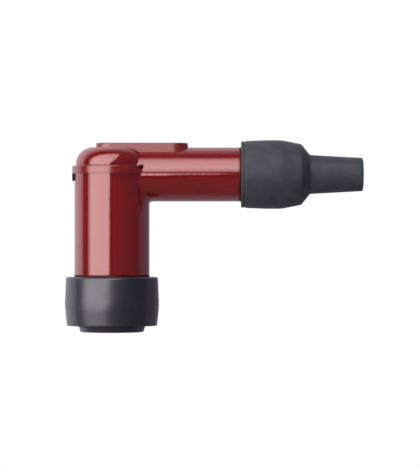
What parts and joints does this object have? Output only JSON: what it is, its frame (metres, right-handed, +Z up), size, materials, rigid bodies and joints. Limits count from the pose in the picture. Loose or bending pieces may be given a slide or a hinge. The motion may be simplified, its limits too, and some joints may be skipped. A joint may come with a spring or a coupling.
{
  "type": "spark plug cap",
  "caption": "Right-angle ignition cap: resin elbow with a rubber boot at the plug end and one at the lead end, a suppressor resistor inside, and a pointed screw for the lead.",
  "frame": {"origin": "on the spark plug's axis, in the plane of the plug boot's mouth", "axes": "+Z up along the plug's axis, out of the top of the elbow; +X along the arm towards the ignition lead; the part is held upright by the spark plug, whose axis is -Z"},
  "size_m": [0.0795, 0.025, 0.0512],
  "materials": {
    "red_phenolic": "polished dark red thermoset resin, glossy, with a faint moulding line",
    "black_rubber": "satin black rubber with a soft sheen",
    "terminal_brass": "turned brass, lightly dulled",
    "spring_steel": "bright drawn spring wire and plated end caps",
    "fibre_washer": "pressed red-brown fibre",
    "resistor_ceramic": "unglazed dark grey ceramic"
  },
  "bodies": {
    "root": {"elbow_body": "red_phenolic", "plug_boot": "black_rubber", "lead_boot": "black_rubber", "plug_terminal": "terminal_brass", "terminal_clip": "spring_steel", "terminal_washer": "fibre_washer", "contact_spring": "spring_steel", "resistor_rod": "resistor_ceramic", "resistor_cap_lower": "spring_steel", "resistor_cap_upper": "spring_steel", "contact_block": "terminal_brass", "cable_screw": "terminal_brass"}
  },
  "joints": []
}
